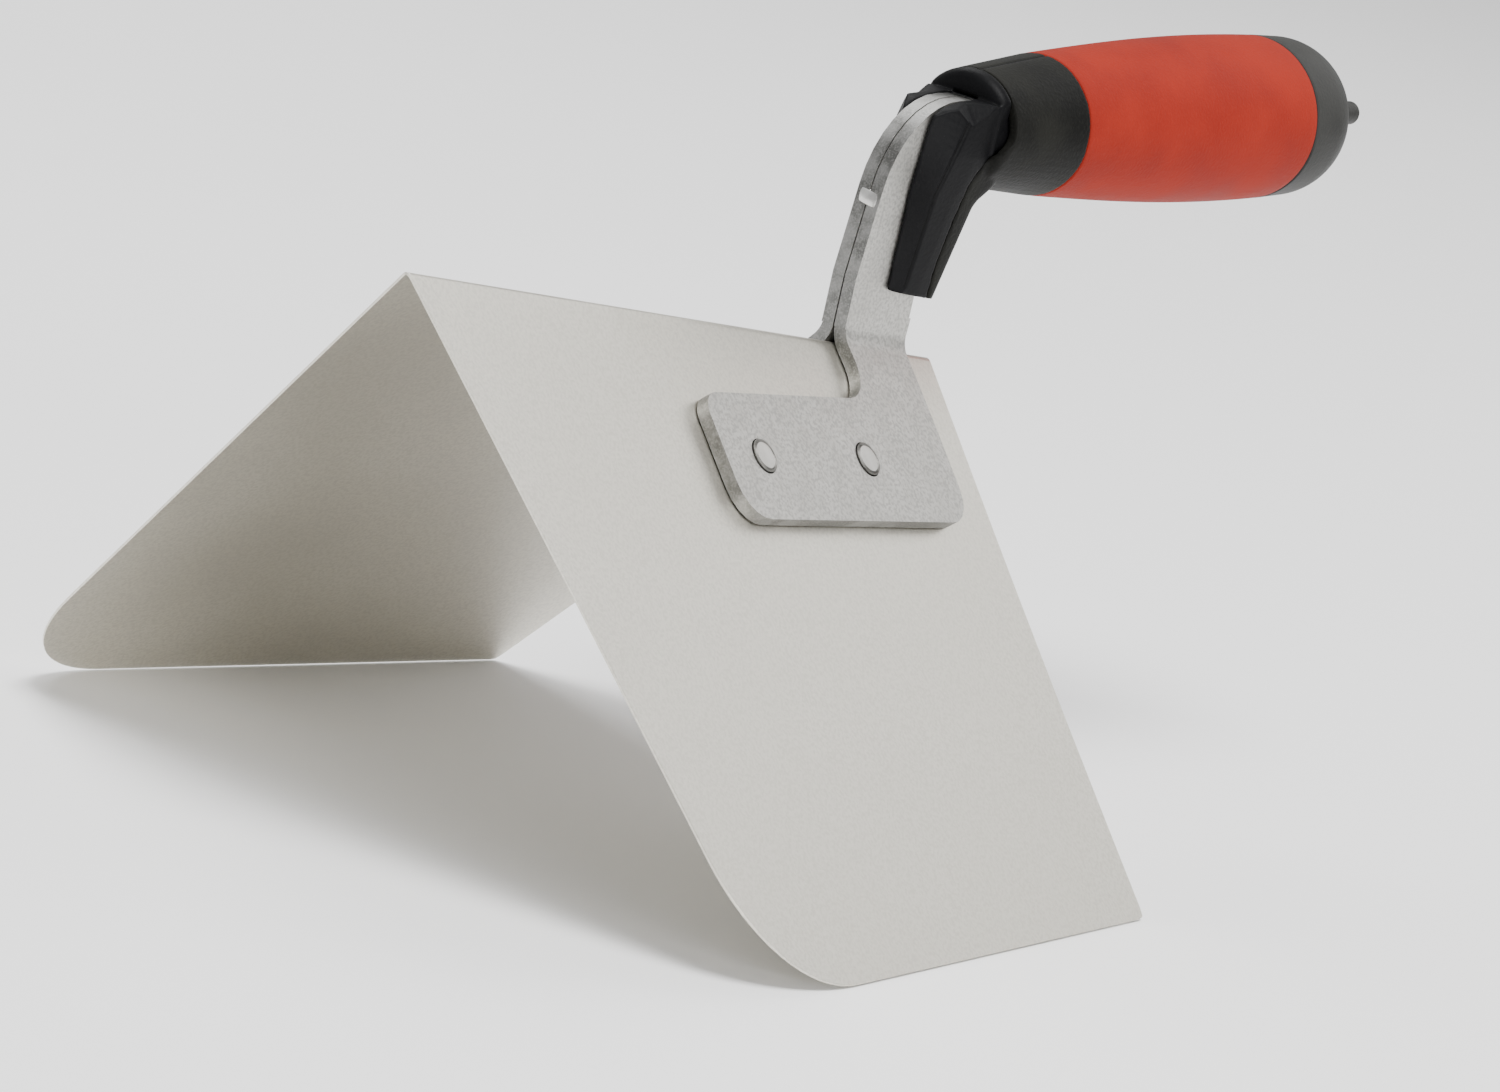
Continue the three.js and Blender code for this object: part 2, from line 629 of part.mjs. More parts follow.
/** The small stud that stands out of the cap's end. */
function endStudSolid() {
  const tip = capEnd + STUD_PROTRUSION;
  return turned([
    [capEnd - STUD_ROOT, 0],
    [capEnd - STUD_ROOT, STUD_RADIUS],
    [tip - STUD_CHAMFER, STUD_RADIUS],
    [tip, STUD_TIP_RADIUS],
    [tip, 0],
  ], 24);
}

// ---------------------------------------------------------------- materials

/** A plain surface of the given colour. */
function surface(color, roughness, metalness) {
  return new THREE.MeshStandardMaterial({ color, roughness, metalness });
}

const stainless = () => surface(0xc8c5bc, 0.35, 1);
const plateSteel = () => surface(0xb4b4b0, 0.45, 1);
const rivetSteel = () => surface(0xa8a8a4, 0.4, 1);
const blackPlastic = () => surface(0x2d2e30, 0.5, 0);
const blackRubber = () => surface(0x353533, 0.75, 0);
const redRubber = () => surface(0xbe3c2d, 0.65, 0);
const greyPlastic = () => surface(0x646462, 0.6, 0);

// ---------------------------------------------------------------- assembly

/** A named mesh of one solid. */
function piece(name, solid, material) {
  const mesh = new THREE.Mesh(geometryOf(solid), material);
  mesh.name = name;
  return mesh;
}

const tool = new THREE.Group();
tool.add(piece('blade', bladeSolid(), stainless()));
SIDES.forEach(({ name, sign }) => {
  tool.add(piece(`tang_plate_${name}`, tangPlateSolid(sign), plateSteel()));
  ['front', 'rear'].forEach((place, index) => {
    tool.add(piece(`foot_rivet_${name}_${place}`, rivetBody(sign, index, 0), rivetSteel()));
  });
});
PIN_STATIONS.forEach((station, index) => {
  tool.add(piece(`tang_pin_${index + 1}`, pinBody(station, 0), rivetSteel()));
});
tool.add(piece('handle_core', handleCoreSolid(), blackPlastic()));
tool.add(piece('guard_collar', guardCollarSolid(), blackRubber()));
tool.add(piece('grip_sleeve', gripSleeveSolid(), redRubber()));
tool.add(piece('end_cap', endCapSolid(), greyPlastic()));
tool.add(piece('end_stud', endStudSolid(), greyPlastic()));

// The wings' outer edges aren't parallel to the ridge, so the tool leans back until they lie level.
const edgeRun = RIDGE_LENGTH + BACK_OVERHANG - FRONT_SETBACK;
const edgeRise = (WING_FRONT_WIDTH - WING_BACK_WIDTH) * Math.cos(halfFold);
tool.rotation.y = Math.atan2(edgeRise, edgeRun);

// The origin is the middle of the foot of the tool's box.
const stand = new THREE.Group();
stand.add(tool);
stand.updateMatrixWorld(true);
const box = new THREE.Box3().setFromObject(stand, true);
const middle = box.getCenter(new THREE.Vector3());
stand.position.set(-middle.x, -middle.y, -box.min.z);

export default stand;
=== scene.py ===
"""Outside corner trowel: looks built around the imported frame. Metres, +Z up, +X towards the handle's end."""

import math

import bmesh
import bpy
import numpy as np
from mathutils import Matrix, Vector


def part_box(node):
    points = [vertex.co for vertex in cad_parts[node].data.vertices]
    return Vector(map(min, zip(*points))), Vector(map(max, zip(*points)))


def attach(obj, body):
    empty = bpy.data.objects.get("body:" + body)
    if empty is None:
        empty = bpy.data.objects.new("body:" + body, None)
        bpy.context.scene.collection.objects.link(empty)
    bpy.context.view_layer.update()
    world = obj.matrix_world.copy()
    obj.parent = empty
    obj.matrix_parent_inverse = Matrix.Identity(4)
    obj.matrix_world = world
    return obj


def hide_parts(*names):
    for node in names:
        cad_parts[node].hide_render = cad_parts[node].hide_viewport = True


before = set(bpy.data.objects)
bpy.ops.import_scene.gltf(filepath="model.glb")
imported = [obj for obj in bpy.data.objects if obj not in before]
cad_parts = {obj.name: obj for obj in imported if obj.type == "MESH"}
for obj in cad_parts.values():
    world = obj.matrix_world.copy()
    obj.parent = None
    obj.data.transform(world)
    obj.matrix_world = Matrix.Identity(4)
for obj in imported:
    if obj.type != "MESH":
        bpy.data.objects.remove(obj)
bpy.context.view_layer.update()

MM = 0.001

# ---------------------------------------------------------------- driving sizes, in millimetres

FOLD_ANGLE = math.radians(84.8)
HALF_FOLD = FOLD_ANGLE / 2
RIDGE_LENGTH = 165.0
SHEET_THICKNESS = 0.5
FOLD_RADIUS = 1.2
WING_FRONT_WIDTH = 130.9
WING_BACK_WIDTH = 112.3
FRONT_SETBACK = 37.1
BACK_OVERHANG = 4.3
BACK_EDGE_BOW = 0.8
FRONT_CORNER_RADIUS = 30.0
BACK_CORNER_RADIUS = 1.2

PLATE_THICKNESS = 2.5
REST_GAP = 0.3
SHANK_FRONT = 129.7
WELD_HEIGHT = 26.4
WELD_HALF_HEIGHT = 1.5
WELD_HALF_WIDTH = 2.2
WELD_RISE = 0.28
WELD_SINK = 0.25
WELD_BACK = 0.2
WELD_SKEW = 0.3
WELD_ROUNDING = 0.12

RIVET_HEAD_RADIUS = 3.2
RIVET_SHANK_RADIUS = 2.4
RIVET_HEAD_DEPTH = 1.4
RIVET_HEAD_LAND = 0.3
RIVET_TAIL = 0.06
RIVET_CROWN = 0.05
RIVET_CROWN_RADIUS = 1.2
RING_OUTER = 2.95
RING_BOTTOM = 2.75
RING_INNER = 2.5
RING_DEPTH = 0.22

HANDLE_TILT = math.radians(7.8)
FRONT_PIN_STATION = 8.0
HANDLE_START = (176.1, 45.5)
COLLAR_RADIUS = 13.2
GRIP_LENGTH = 76.5
GRIP_RADIUS = 15.9
GRIP_END_RADIUS = 15.7
SLEEVE_BORE = 8.9
CAP_SHOULDER = 8.0
CAP_DOME = 14.0
CAP_FLAT_RADIUS = 4.0
CAP_END = GRIP_LENGTH + CAP_SHOULDER + CAP_DOME
STUD_RADIUS = 2.3
STUD_ROOT = 13.0
STUD_PROTRUSION = 17.5
STUD_CHAMFER = 1.6
STUD_TIP_STEP = 0.9
BUTT_GAP = 0.3
STUD_GAP = 0.3
CAP_STEP = 0.3
CAP_HOLLOW = 4.9
CAP_RIM = 0.45
GRIP_RIM = 0.5
SWELL_SHARE = 0.8

CROP_STATION = 3.0
ROOF_TOP = 48.4
ROOF_FALL = 1.05
ROOF_HALF_WIDTH = 3.2
ROOF_BACK = 145.0
ROOF_RETURN = 0.85
CORE_GROOVE_DEPTH = 0.4
COLLAR_GROOVE_DEPTH = 0.3
GROOVE_WIDTH = 0.3
NOSE_SLIT = [(151.4, -7.2, 48.2), (151.4, 7.2, 48.2)]
NOSE_SEAM = [(151.6, 0, 48.2), (152.2, 0, 51.7), (153.4, 0, 53.4), (157.3, 0, 54.3), (177.0, 0, 59.2)]
SIDE_SEAM = [(142.4, -5.0, 12.5), (141.1, -6.2, 24), (140.6, -6.8, 30), (141.9, -7.6, 38),
             (143.2, -7.6, 43), (144.2, -7.6, 46.5)]

# ---------------------------------------------------------------- mesh settings

MERGE_DISTANCE = 1e-6
FRAME_MERGE_DISTANCE = 2e-6
FLAT_ANGLE = math.radians(1.0)
BLADE_SAMPLES = 97
BLADE_CORNER_STEPS = 24
BLADE_ROW_GRADING = 1.6
BLADE_EDGE_ROUND = 0.12
PLATE_EDGE_ROUND = 0.4
SKIN_VOXEL = 0.3
SKIN_PASSES = 6


# ---------------------------------------------------------------- places from the frame

def box_middle(node):
    """The middle of a node's box, as a vector in millimetres."""
    low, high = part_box(node)
    return (np.array(low) + np.array(high)) / 2 / MM


FRONT_PIN = box_middle("tang_pin_1")
REAR_PIN = box_middle("tang_pin_2")
HANDLE_DIRECTION = (REAR_PIN - FRONT_PIN) / np.linalg.norm(REAR_PIN - FRONT_PIN)
HANDLE_ORIGIN = FRONT_PIN - HANDLE_DIRECTION * FRONT_PIN_STATION
STANCE = HANDLE_TILT - math.atan2(HANDLE_DIRECTION[2], HANDLE_DIRECTION[0])


def stance_turn(points):
    """Turns tool coordinates about Y by the stance angle, the way the tool leans back on its edges."""
    points = np.asarray(points, float)
    c, s = math.cos(STANCE), math.sin(STANCE)
    turned = points.copy()
    turned[..., 0] = points[..., 0] * c + points[..., 2] * s
    turned[..., 2] = -points[..., 0] * s + points[..., 2] * c
    return turned


STAND_SHIFT = HANDLE_ORIGIN - stance_turn([HANDLE_START[0], 0.0, HANDLE_START[1]])


def from_tool(points):
    """Tool coordinates (ridge along X from the blade's front, fold line at height 0) to the frame."""
    return (stance_turn(points) + STAND_SHIFT) * MM


def from_handle(station, across, height):
    """Handle coordinates (along its axis, across to the left, up) to the frame's metres."""
    c, s = math.cos(HANDLE_TILT), math.sin(HANDLE_TILT)
    x = HANDLE_START[0] + station * c - height * s
    z = HANDLE_START[1] + station * s + height * c
    return from_tool(np.stack(np.broadcast_arrays(x, across, z), axis=-1))


def stance_return(points):
    """Undoes the stance's turn, for points or directions."""
    c, s = math.cos(STANCE), math.sin(STANCE)
    back = points.copy()
    back[..., 0] = points[..., 0] * c - points[..., 2] * s
    back[..., 2] = points[..., 0] * s + points[..., 2] * c
    return back


def to_tool(points):
    """The frame's metres back to tool coordinates in millimetres."""
    return stance_return(np.asarray(points, float) / MM - STAND_SHIFT)


def wing_axes(sign):
    """Unit vectors down one wing and out of its outer face; sign is -1 on the right, +1 on the left."""
    down = np.array([0.0, sign * math.sin(HALF_FOLD), -math.cos(HALF_FOLD)])
    out = np.array([0.0, sign * math.cos(HALF_FOLD), math.sin(HALF_FOLD)])
    return down, out


# ---------------------------------------------------------------- mesh helpers

def link_mesh(name, vertices, faces, sharp_angle=35.0):
    """A linked object from vertices and faces, finished as finish_mesh does."""
    mesh = bpy.data.meshes.new(name)
    mesh.from_pydata(np.asarray(vertices).tolist(), [], np.asarray(faces).tolist())
    return finish_mesh(name, mesh, sharp_angle)


def finish_mesh(name, mesh, sharp_angle):
    """Merges doubles, turns normals outwards, shades smooth below the sharp angle and links the object."""
    work = bmesh.new()
    work.from_mesh(mesh)
    bmesh.ops.remove_doubles(work, verts=work.verts, dist=MERGE_DISTANCE)
    bmesh.ops.recalc_face_normals(work, faces=work.faces)
    work.to_mesh(mesh)
    work.free()
    mesh.shade_smooth()
    mesh.set_sharp_from_angle(angle=math.radians(sharp_angle))
    piece = bpy.data.objects.new(name, mesh)
    bpy.context.scene.collection.objects.link(piece)
    return piece


def grid_faces(rows, columns, wrap_rows=False, wrap_columns=False):
    """Quads of a grid of rows by columns points stored row by row; a wrapped direction closes on itself."""
    r = np.arange(rows if wrap_rows else rows - 1)
    c = np.arange(columns if wrap_columns else columns - 1)
    r, c = np.meshgrid(r, c, indexing="ij")
    r2, c2 = (r + 1) % rows, (c + 1) % columns
    quads = np.stack([r * columns + c, r2 * columns + c, r2 * columns + c2, r * columns + c2], axis=-1)
    return quads.reshape(-1, 4)


def rounded_path(corners, steps=5):
    """A polyline through [a, b, radius] corners, each corner replaced by its tangent arc."""
    path = []
    count = len(corners)
    for i, (a, b, radius) in enumerate(corners):
        corner = np.array([a, b], float)
        if radius <= 0:
            path.append(corner)
            continue
        before = np.array(corners[i - 1][:2], float) - corner
        after = np.array(corners[(i + 1) % count][:2], float) - corner
        before /= np.linalg.norm(before)
        after /= np.linalg.norm(after)
        half = math.acos(float(np.clip(before @ after, -1, 1))) / 2
        bisector = before + after
        center = corner + bisector / np.linalg.norm(bisector) * radius / math.sin(half)
        start = corner + before * radius / math.tan(half) - center
        turn = math.copysign(math.pi - 2 * half, before[0] * after[1] - before[1] * after[0])
        angles = math.atan2(start[1], start[0]) - turn * np.linspace(0, 1, steps + 1)
        path.extend(center + radius * np.stack([np.cos(angles), np.sin(angles)], axis=-1))
    return np.array(path)


def turned_piece(name, profile, closed, segments):
    """Turns a profile of (station, radius) points about the handle's axis: radius times cosine across and
    radius times sine up. A closed profile makes a ring; an open one starts and ends on the axis."""
    profile = np.asarray(profile, float)
    angle = np.linspace(0, 2 * math.pi, segments, endpoint=False)
    station, around = np.meshgrid(profile[:, 0], angle, indexing="ij")
    radius = np.repeat(profile[:, 1][:, None], segments, axis=1)
    points = from_handle(station, radius * np.cos(around), radius * np.sin(around))
    faces = grid_faces(len(profile), segments, wrap_rows=closed, wrap_columns=True)
    return link_mesh(name, points.reshape(-1, 3), faces)


def frame_copy(name, node):
    """A copy of a frame node's mesh with its doubles merged and its flat faces joined."""
    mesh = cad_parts[node].data.copy()
    mesh.name = name
    mesh.materials.clear()
    for attribute in ("sharp_edge", "sharp_face", "custom_normal"):
        if attribute in mesh.attributes:
            mesh.attributes.remove(mesh.attributes[attribute])
    work = bmesh.new()
    work.from_mesh(mesh)
    bmesh.ops.remove_doubles(work, verts=work.verts, dist=FRAME_MERGE_DISTANCE)
    bmesh.ops.dissolve_limit(work, angle_limit=FLAT_ANGLE, verts=work.verts, edges=work.edges)
    work.to_mesh(mesh)
    work.free()
    return mesh


def apply_modifiers(piece):
    """Replaces a piece's mesh by its evaluated one and drops its modifiers."""
    graph = bpy.context.evaluated_depsgraph_get()
    mesh = bpy.data.meshes.new_from_object(piece.evaluated_get(graph))
    piece.modifiers.clear()
    piece.data = mesh


def add_bevel(piece, width, segments=3, angle=30.0):
    """A live Bevel along a piece's sharp edges, clamped by the mesh's own shortest edges."""
    bevel = piece.modifiers.new("edge_rounding", "BEVEL")
    bevel.width = width * MM
    bevel.segments = segments
    bevel.limit_method = "ANGLE"
    bevel.angle_limit = math.radians(angle)
    bevel.harden_normals = True
    bevel.use_clamp_overlap = True
    return bevel


def dress(piece, node, material):
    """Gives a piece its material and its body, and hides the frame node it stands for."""
    piece.data.materials.clear()
    piece.data.materials.append(material)
    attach(piece, "root")
    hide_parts(node)


# ---------------------------------------------------------------- shader helpers

class Shader:
    """A small builder of node materials and groups."""

    def __init__(self, tree):
        self.tree = tree

    def node(self, kind, **settings):
        """A new node with its settings."""
        made = self.tree.nodes.new(kind)
        for name, value in settings.items():
            setattr(made, name, value)
        return made

    def link(self, source, target):
        """Joins two sockets."""
        self.tree.links.new(source, target)

    def feed(self, target, value):
        """Sets a socket to a plain value, or links another socket into it."""
        if isinstance(value, bpy.types.NodeSocket):
            self.link(value, target)
        else:
            target.default_value = value

    def math(self, operation, a, b):
        """One operation on two values."""
        made = self.node("ShaderNodeMath", operation=operation)
        self.feed(made.inputs[0], a)
        self.feed(made.inputs[1], b)
        return made.outputs[0]

    def noise(self, vector, scale, detail, roughness=0.5):
        """A noise between 0 and 1."""
        made = self.node("ShaderNodeTexNoise")
        self.link(vector, made.inputs["Vector"])
        self.feed(made.inputs["Scale"], scale)
        made.inputs["Detail"].default_value = detail
        made.inputs["Roughness"].default_value = roughness
        return made.outputs["Fac"]

    def ramp(self, value, low, high, out_low=0.0, out_high=1.0):
        """A smooth step from out_low at low to out_high at high."""
        made = self.node("ShaderNodeMapRange", interpolation_type="SMOOTHSTEP")
        for name, item in (("Value", value), ("From Min", low), ("From Max", high),
                           ("To Min", out_low), ("To Max", out_high)):
            self.feed(made.inputs[name], item)
        return made.outputs["Result"]

    def mix(self, factor, a, b):
        """Two colours mixed by a factor."""
        made = self.node("ShaderNodeMix", data_type="RGBA")
        self.feed(made.inputs["Factor"], factor)
        self.feed(made.inputs[6], a)
        self.feed(made.inputs[7], b)
        return made.outputs[2]

    def bump(self, height, strength, distance):
        """A normal from a height."""
        made = self.node("ShaderNodeBump")
        self.feed(made.inputs["Height"], height)
        made.inputs["Strength"].default_value = strength
        made.inputs["Distance"].default_value = distance
        return made.outputs["Normal"]


def new_group(name, inputs, outputs):
    """A shader node group with (kind, name, default) inputs and (kind, name) outputs."""
    tree = bpy.data.node_groups.new(name, "ShaderNodeTree")
    for kind, label, default in inputs:
        socket = tree.interface.new_socket(name=label, in_out="INPUT", socket_type=kind)
        if default is not None:
            socket.default_value = default
    for kind, label in outputs:
        tree.interface.new_socket(name=label, in_out="OUTPUT", socket_type=kind)
    build = Shader(tree)
    return build, build.node("NodeGroupInput").outputs, build.node("NodeGroupOutput").inputs


def mottle_group():
    """Cloudy, fine and speckled masks over a surface, for metal and moulded skins alike."""
    build, given, result = new_group(
        "surface_mottle",
        [("NodeSocketVector", "Vector", None), ("NodeSocketFloat", "Cloud Scale", 40.0),
         ("NodeSocketFloat", "Speckle Scale", 2500.0)],
        [("NodeSocketFloat", "Cloud"), ("NodeSocketFloat", "Speckle"), ("NodeSocketFloat", "Spots")])
    spot_scale = build.math("MULTIPLY", given["Cloud Scale"], 5.0)
    spots = build.noise(given["Vector"], spot_scale, 6.0, 0.7)
    build.link(build.noise(given["Vector"], given["Cloud Scale"], 4.0), result["Cloud"])
    build.link(build.noise(given["Vector"], given["Speckle Scale"], 2.0), result["Speckle"])
    build.link(build.ramp(spots, 0.56, 0.72), result["Spots"])
    return build.tree


MOTTLE = mottle_group()


def new_material(name):
    """A material with its builder, its shader node and its Object coordinates."""
    material = bpy.data.materials.new(name)
    material.use_nodes = True
    build = Shader(material.node_tree)
    shader = material.node_tree.nodes["Principled BSDF"]
    place = build.node("ShaderNodeTexCoord").outputs["Object"]
    return material, build, shader, place


def mottle(build, place, cloud_scale, speckle_scale):
    """Places the shared mottle group with its own scales."""
    made = build.node("ShaderNodeGroup", node_tree=MOTTLE)
    build.link(place, made.inputs["Vector"])
    made.inputs["Cloud Scale"].default_value = cloud_scale
    made.inputs["Speckle Scale"].default_value = speckle_scale
    return made.outputs


def stainless_material():
    """Satin stainless sheet: warm grey, faint clouds, a fine blasted grain."""
    material, build, shader, place = new_material("stainless_satin")
    masks = mottle(build, place, 22.0, 1500.0)
    tint = build.mix(build.ramp(masks["Cloud"], 0.3, 0.7), (0.70, 0.672, 0.595, 1), (0.76, 0.732, 0.655, 1))
    tint = build.mix(build.ramp(masks["Speckle"], 0.35, 0.7, 0.0, 0.45), tint, (0.53, 0.505, 0.445, 1))
    build.link(tint, shader.inputs["Base Color"])
    shader.inputs["Metallic"].default_value = 1.0
    build.link(build.ramp(masks["Cloud"], 0.3, 0.7, 0.36, 0.44), shader.inputs["Roughness"])
    build.link(build.bump(masks["Speckle"], 0.12, 0.00005), shader.inputs["Normal"])
    return material


def plate_material():
    """Tumbled steel plate: mottled grey with dark pits and fine scuffs."""
    material, build, shader, place = new_material("plate_tumbled")
    masks = mottle(build, place, 170.0, 1500.0)
    tint = build.mix(build.ramp(masks["Cloud"], 0.25, 0.75), (0.50, 0.49, 0.46, 1), (0.59, 0.58, 0.55, 1))
    tint = build.mix(build.math("MULTIPLY", masks["Spots"], 0.35), tint, (0.34, 0.33, 0.305, 1))
    tint = build.mix(build.ramp(masks["Speckle"], 0.4, 0.65, 0.0, 0.7), tint, (0.34, 0.333, 0.315, 1))
    build.link(tint, shader.inputs["Base Color"])
    shader.inputs["Metallic"].default_value = 1.0
    build.link(build.ramp(masks["Cloud"], 0.3, 0.7, 0.46, 0.52), shader.inputs["Roughness"])
    height = build.math("ADD", masks["Speckle"], build.math("MULTIPLY", masks["Spots"], -0.6))
    build.link(build.bump(height, 0.25, 0.0001), shader.inputs["Normal"])
    return material


def worn_edge_and_highlight_material():
    """Bright rubbed steel, on the ground tack weld and on the plates' Bevel; its light tone is partly real
    wear and partly a painted highlight along the plates' rims.
    """
    material, build, shader, place = new_material("plate_worn_edge_and_highlight")
    masks = mottle(build, place, 200.0, 2200.0)
    tint = build.mix(build.ramp(masks["Cloud"], 0.4, 0.6), (0.60, 0.595, 0.575, 1), (0.76, 0.755, 0.735, 1))
    build.link(tint, shader.inputs["Base Color"])
    shader.inputs["Metallic"].default_value = 1.0
    build.link(build.ramp(masks["Cloud"], 0.3, 0.7, 0.25, 0.4), shader.inputs["Roughness"])
    build.link(build.bump(masks["Speckle"], 0.15, 0.00008), shader.inputs["Normal"])
    return material


def stamped_edge_and_shade_material():
    """The dull sheared edge of a stamped plate, streaked across its thickness; its tone, far darker than the
    plate's face, is partly the sheared steel's own and partly painted shade.
    """
    material, build, shader, place = new_material("plate_stamped_edge_and_shade")
    masks = mottle(build, place, 240.0, 2600.0)
    tint = build.mix(build.ramp(masks["Cloud"], 0.35, 0.65), (0.16, 0.16, 0.152, 1), (0.30, 0.298, 0.29, 1))
    tint = build.mix(build.ramp(masks["Speckle"], 0.4, 0.7, 0.0, 0.5), tint, (0.40, 0.395, 0.38, 1))
    build.link(tint, shader.inputs["Base Color"])
    shader.inputs["Metallic"].default_value = 1.0
    build.link(build.ramp(masks["Cloud"], 0.3, 0.7, 0.35, 0.5), shader.inputs["Roughness"])
    build.link(build.bump(masks["Speckle"], 0.35, 0.0001), shader.inputs["Normal"])
    return material


def ring_painted_shade_material():
    """The dark ring round a rivet's head: painted shade in the groove cut there."""
    material, build, shader, place = new_material("rivet_ring_painted_shade")
    masks = mottle(build, place, 400.0, 2400.0)
    tint = build.mix(build.ramp(masks["Cloud"], 0.3, 0.7), (0.10, 0.098, 0.09, 1), (0.22, 0.215, 0.20, 1))
    build.link(tint, shader.inputs["Base Color"])
    shader.inputs["Metallic"].default_value = 1.0
    build.link(build.ramp(masks["Cloud"], 0.3, 0.7, 0.45, 0.6), shader.inputs["Roughness"])
    build.link(build.bump(masks["Speckle"], 0.3, 0.0001), shader.inputs["Normal"])
    return material


def rivet_material():
    """Ground rivet steel."""
    material, build, shader, place = new_material("rivet_ground")
    masks = mottle(build, place, 260.0, 2600.0)
    tint = build.mix(build.ramp(masks["Cloud"], 0.35, 0.65), (0.50, 0.49, 0.46, 1), (0.59, 0.58, 0.55, 1))
    build.link(tint, shader.inputs["Base Color"])
    shader.inputs["Metallic"].default_value = 1.0
    build.link(build.ramp(masks["Spots"], 0.0, 1.0, 0.38, 0.55), shader.inputs["Roughness"])
    build.link(build.bump(masks["Speckle"], 0.2, 0.00008), shader.inputs["Normal"])
    return material


def moulded_material(name, dark, light, roughness, grain_scale, grain, specular, grooved=False):
    """A moulded skin: two close tones in clouds, a fine pebbled grain and a little uneven gloss; a grooved
    skin is also darkened along its grooves as painted shade.
    """
    material, build, shader, place = new_material(name)
    masks = mottle(build, place, 60.0, grain_scale)
    tint = build.mix(build.ramp(masks["Cloud"], 0.3, 0.7), dark, light)
    tint = build.mix(build.ramp(masks["Speckle"], 0.45, 0.75, 0.0, 0.3), tint, light)
    # A grooved skin is darkened along its grooves, slit and seams: painted shade in the grooves.
    if grooved:
        groove = build.node("ShaderNodeAttribute", attribute_name="groove").outputs["Fac"]
        tint = build.mix(build.ramp(groove, 0.25, 0.8), tint, (0.004, 0.004, 0.004, 1))
    build.link(tint, shader.inputs["Base Color"])
    shader.inputs["Specular IOR Level"].default_value = specular
    gloss = build.ramp(masks["Cloud"], 0.3, 0.7, roughness - 0.05, roughness + 0.05)
    build.link(gloss, shader.inputs["Roughness"])
    build.link(build.bump(masks["Speckle"], grain, 0.0002), shader.inputs["Normal"])
    return material


# ---------------------------------------------------------------- blade

def wing_edges(samples):
    """The four edges of one wing as (x, width) arrays: the fold's crown, the raked front edge to the middle
    of its round corner, the outer edge from there to the back corner, and the bowed back edge."""
    crown = FOLD_RADIUS * (1 / math.tan(HALF_FOLD) - math.cos(HALF_FOLD))
    rake = FRONT_SETBACK / WING_FRONT_WIDTH
    back = RIDGE_LENGTH + BACK_OVERHANG
    outline = rounded_path([
        (crown * rake, crown, 0),
        (FRONT_SETBACK, WING_FRONT_WIDTH, FRONT_CORNER_RADIUS),
        (back, WING_BACK_WIDTH, BACK_CORNER_RADIUS),
        (RIDGE_LENGTH, crown, 0),
    ], steps=BLADE_CORNER_STEPS)
    half = 1 + BLADE_CORNER_STEPS // 2
    corner_end = half + BLADE_CORNER_STEPS + 1
    front = resample(outline[:half + 1], samples)
    outer = resample(outline[half:corner_end + 1], samples)
    rear = resample(outline[corner_end:], samples)
    bow = np.sin(np.pi * np.linspace(0, 1, samples)) * BACK_EDGE_BOW
    rear[:, 0] -= bow
    top = np.stack([np.linspace(crown * rake, RIDGE_LENGTH, samples), np.full(samples, crown)], axis=-1)
    return top, front, outer, rear[::-1]


def resample(path, count):
    """Spreads count points evenly by length along a polyline."""
    path = np.asarray(path, float)
    length = np.concatenate([[0], np.cumsum(np.linalg.norm(np.diff(path, axis=0), axis=1))])
    at = np.linspace(0, length[-1], count)
    return np.stack([np.interp(at, length, path[:, 0]), np.interp(at, length, path[:, 1])], axis=-1)


def fold_map(x, width, sign):
    """Wraps (x, width down the wing) round the fold: past the tangent line a point lies on the flat wing,
    before it on the fold's arc, whose angle from the crown is arccos((r/tan(h) - width)/r) - h."""
    down, _ = wing_axes(sign)
    tangent = FOLD_RADIUS / math.tan(HALF_FOLD)
    center = -FOLD_RADIUS / math.sin(HALF_FOLD)
    angle = np.arccos(np.clip((tangent - width) / FOLD_RADIUS, -1, 1)) - HALF_FOLD
    across = sign * FOLD_RADIUS * np.sin(angle)
    on_arc = np.stack([x, across, center + FOLD_RADIUS * np.cos(angle)], axis=-1)
    on_wing = np.stack([x, down[1] * width, down[2] * width], axis=-1)
    return np.where((width < tangent)[..., None], on_arc, on_wing)


def blade_piece():
    """The blade: a Coons patch over each wing's four edges, wrapped round the fold, with the sheet's wall."""
    samples = BLADE_SAMPLES
    top, front, outer, rear = wing_edges(samples)
    u = np.linspace(0, 1, samples)[:, None, None]
    v = (np.linspace(0, 1, samples) ** BLADE_ROW_GRADING)[None, :, None]
    at = np.interp(v[0, :, 0], np.linspace(0, 1, samples), np.arange(samples))
    low = np.floor(at).astype(int)
    high = np.minimum(low + 1, samples - 1)
    part = (at - low)[:, None]
    front_v = front[low] * (1 - part) + front[high] * part
    rear_v = rear[low] * (1 - part) + rear[high] * part
    ruled = (1 - v) * top[:, None] + v * outer[:, None] + (1 - u) * front_v[None] + u * rear_v[None]
    corners = (1 - u) * (1 - v) * top[0] + u * (1 - v) * top[-1]
    corners = corners + (1 - u) * v * outer[0] + u * v * outer[-1]
    patch = ruled - corners
    halves = [fold_map(patch[..., 0], patch[..., 1], sign) for sign in (-1, 1)]
    sheet = np.concatenate([halves[0][:, ::-1], halves[1][:, 1:]], axis=1)
    points = from_tool(sheet).reshape(-1, 3)
    piece = link_mesh("blade_sheet", points, grid_faces(samples, 2 * samples - 1), 60.0)
    middle = piece.data.polygons[len(piece.data.polygons) // 2]
    if middle.normal.z < 0:
        piece.data.flip_normals()
    wall = piece.modifiers.new("sheet_wall", "SOLIDIFY")
    wall.thickness = SHEET_THICKNESS * MM
    wall.offset = -1.0
    add_bevel(piece, BLADE_EDGE_ROUND, 2, 50.0)
    return piece


# ---------------------------------------------------------------- plates and rivets

